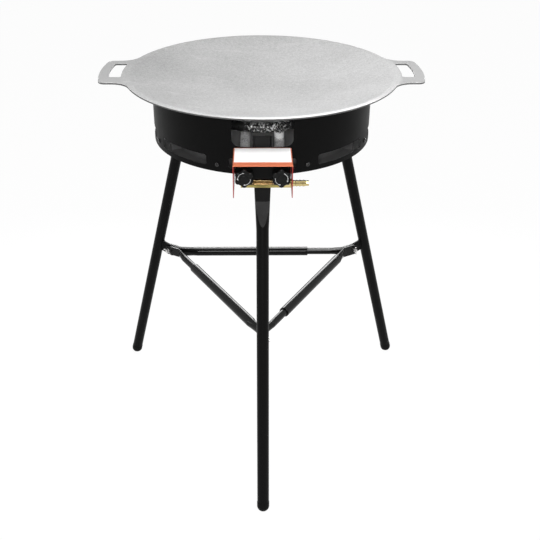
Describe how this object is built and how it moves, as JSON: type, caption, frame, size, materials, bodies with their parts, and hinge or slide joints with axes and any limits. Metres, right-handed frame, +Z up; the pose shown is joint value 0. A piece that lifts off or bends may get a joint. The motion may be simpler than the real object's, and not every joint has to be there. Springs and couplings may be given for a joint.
{
  "type": "griddle pan with gas burner",
  "caption": "Round shallow griddle pan with loop handles on a gas ring burner in a vented drum, with a red control shield and a splayed tripod with telescoping braces.",
  "frame": {"origin": "on the floor, under the middle of the outfit's overall box", "axes": "+Z up, -Y to the front with the knobs and the front leg, +X to the hose tail's side"},
  "size_m": [0.7084, 0.6889, 0.8399],
  "materials": {
    "blasted_steel": "grit-blasted pressed steel, bare",
    "black_paint": "semi-matt black stove paint",
    "black_gloss": "gloss black paint on tube",
    "orange_paint": "red-orange powder coat",
    "label_white": "plain white plate, no print",
    "zinc_steel": "zinc plated",
    "pipe_steel": "bare speckled steel pipe",
    "brass": "turned brass",
    "knob_plastic": "gloss black heat-resistant plastic",
    "foot_plastic": "black plastic"
  },
  "bodies": {
    "burner_drum": {"wind_shield": "black_paint", "bottom_plate": "black_paint", "drum_screws": "black_paint", "outer_burner_ring": "pipe_steel", "inner_burner_ring": "pipe_steel", "outer_mixing_tube": "pipe_steel", "inner_mixing_tube": "pipe_steel", "right_burner_arm": "black_paint", "rear_burner_arm": "black_paint", "left_burner_arm": "black_paint", "front_leg_bracket": "black_paint", "front_pivot_bolt": "zinc_steel", "right_leg_bracket": "black_paint", "right_pivot_bolt": "zinc_steel", "left_leg_bracket": "black_paint", "left_pivot_bolt": "zinc_steel", "control_shield": "orange_paint", "label_plate": "label_white", "control_plate": "black_paint", "shield_screws": "zinc_steel", "gas_manifold": "brass", "hose_tail": "brass", "left_cock_body": "brass", "left_cock_nut": "zinc_steel", "left_jet": "brass", "right_cock_body": "brass", "right_cock_nut": "zinc_steel", "right_jet": "brass"},
    "griddle": {"griddle_pan": "blasted_steel"},
    "front_leg_group": {"front_leg": "black_paint", "front_foot_cap": "foot_plastic", "front_leg_tab": "black_paint", "front_corner_bolt": "zinc_steel"},
    "front_nut": {"front_wing_nut": "zinc_steel"},
    "right_leg_group": {"right_leg": "black_paint", "right_foot_cap": "foot_plastic", "right_leg_tab": "black_paint", "right_corner_bolt": "zinc_steel"},
    "right_nut": {"right_wing_nut": "zinc_steel"},
    "left_leg_group": {"left_leg": "black_paint", "left_foot_cap": "foot_plastic", "left_leg_tab": "black_paint", "left_corner_bolt": "zinc_steel"},
    "left_nut": {"left_wing_nut": "zinc_steel"},
    "front_left_outer_tube": {"front_left_brace_outer": "black_gloss"},
    "front_left_inner_tube": {"front_left_brace_inner": "black_gloss"},
    "front_right_outer_tube": {"front_right_brace_outer": "black_gloss"},
    "front_right_inner_tube": {"front_right_brace_inner": "black_gloss"},
    "rear_outer_tube": {"rear_brace_outer": "black_gloss"},
    "rear_inner_tube": {"rear_brace_inner": "black_gloss"},
    "left_plug": {"left_cock_plug": "brass"},
    "left_knob_group": {"left_spindle": "zinc_steel", "left_knob": "knob_plastic"},
    "right_plug": {"right_cock_plug": "brass"},
    "right_knob_group": {"right_spindle": "zinc_steel", "right_knob": "knob_plastic"}
  },
  "joints": [
    {"name": "pan_lift", "type": "slide", "parent": "burner_drum", "child": "griddle", "axis": [0, 0, 1], "range_m": [0, 0.15]},
    {"name": "front_leg_swing", "type": "hinge", "parent": "burner_drum", "child": "front_leg_group", "pos_m": [0, -0.12787, 0.735], "axis": [1, 0, 0], "range_deg": [0, 4.2]},
    {"name": "front_wing_nut_turn", "type": "hinge", "parent": "front_leg_group", "child": "front_nut", "pos_m": [0, -0.19937, 0.35012], "axis": [1, 0, 0], "continuous": true},
    {"name": "right_leg_swing", "type": "hinge", "parent": "burner_drum", "child": "right_leg_group", "pos_m": [0.16485, 0.15766, 0.735], "axis": [-0.5, 0.866, 0], "range_deg": [0, 4.2]},
    {"name": "right_wing_nut_turn", "type": "hinge", "parent": "right_leg_group", "child": "right_nut", "pos_m": [0.22677, 0.19341, 0.35012], "axis": [0.5, -0.866, 0], "continuous": true},
    {"name": "left_leg_swing", "type": "hinge", "parent": "burner_drum", "child": "left_leg_group", "pos_m": [-0.16485, 0.15766, 0.735], "axis": [-0.5, -0.866, 0], "range_deg": [0, 4.2]},
    {"name": "left_wing_nut_turn", "type": "hinge", "parent": "left_leg_group", "child": "left_nut", "pos_m": [-0.22677, 0.19341, 0.35012], "axis": [-0.5, -0.866, 0], "continuous": true},
    {"name": "front_left_brace_pivot", "type": "hinge", "parent": "front_leg_group", "child": "front_left_outer_tube", "pos_m": [0, -0.19937, 0.35012], "axis": [1, 0, 0], "range_deg": [-4.2, 0]},
    {"name": "front_left_brace_slide", "type": "slide", "parent": "front_left_outer_tube", "child": "front_left_inner_tube", "axis": [0.5, -0.866, 0], "range_m": [0, 0.05]},
    {"name": "front_right_brace_pivot", "type": "hinge", "parent": "right_leg_group", "child": "front_right_outer_tube", "pos_m": [0.22677, 0.19341, 0.35012], "axis": [-0.5, 0.866, 0], "range_deg": [-4.2, 0]},
    {"name": "front_right_brace_slide", "type": "slide", "parent": "front_right_outer_tube", "child": "front_right_inner_tube", "axis": [0.5, 0.866, 0], "range_m": [0, 0.05]},
    {"name": "rear_brace_pivot", "type": "hinge", "parent": "left_leg_group", "child": "rear_outer_tube", "pos_m": [-0.22677, 0.19341, 0.35012], "axis": [-0.5, -0.866, 0], "range_deg": [-4.2, 0]},
    {"name": "rear_brace_slide", "type": "slide", "parent": "rear_outer_tube", "child": "rear_inner_tube", "axis": [-1, 0, 0], "range_m": [0, 0.05]},
    {"name": "left_knob_turn", "type": "hinge", "parent": "burner_drum", "child": "left_plug", "pos_m": [-0.034, -0.22672, 0.735], "axis": [0, -1, 0], "range_deg": [0, 180]},
    {"name": "left_knob_push", "type": "slide", "parent": "left_plug", "child": "left_knob_group", "axis": [0, 1, 0], "range_m": [0, 0.003], "stiffness_N_per_m": 900, "springref_m": -0.002},
    {"name": "right_knob_turn", "type": "hinge", "parent": "burner_drum", "child": "right_plug", "pos_m": [0.034, -0.22672, 0.735], "axis": [0, -1, 0], "range_deg": [0, 180]},
    {"name": "right_knob_push", "type": "slide", "parent": "right_plug", "child": "right_knob_group", "axis": [0, 1, 0], "range_m": [0, 0.003], "stiffness_N_per_m": 900, "springref_m": -0.002}
  ],
  "couplings": [
    {"joint": "right_leg_swing", "follows": "front_leg_swing", "ratio": 1},
    {"joint": "left_leg_swing", "follows": "front_leg_swing", "ratio": 1},
    {"joint": "front_left_brace_pivot", "follows": "front_leg_swing", "ratio": -1},
    {"joint": "front_left_brace_slide", "follows": "front_leg_swing", "m_per_rad": 0.67058},
    {"joint": "front_right_brace_pivot", "follows": "front_leg_swing", "ratio": -1},
    {"joint": "front_right_brace_slide", "follows": "front_leg_swing", "m_per_rad": 0.67058},
    {"joint": "rear_brace_pivot", "follows": "front_leg_swing", "ratio": -1},
    {"joint": "rear_brace_slide", "follows": "front_leg_swing", "m_per_rad": 0.67058}
  ]
}
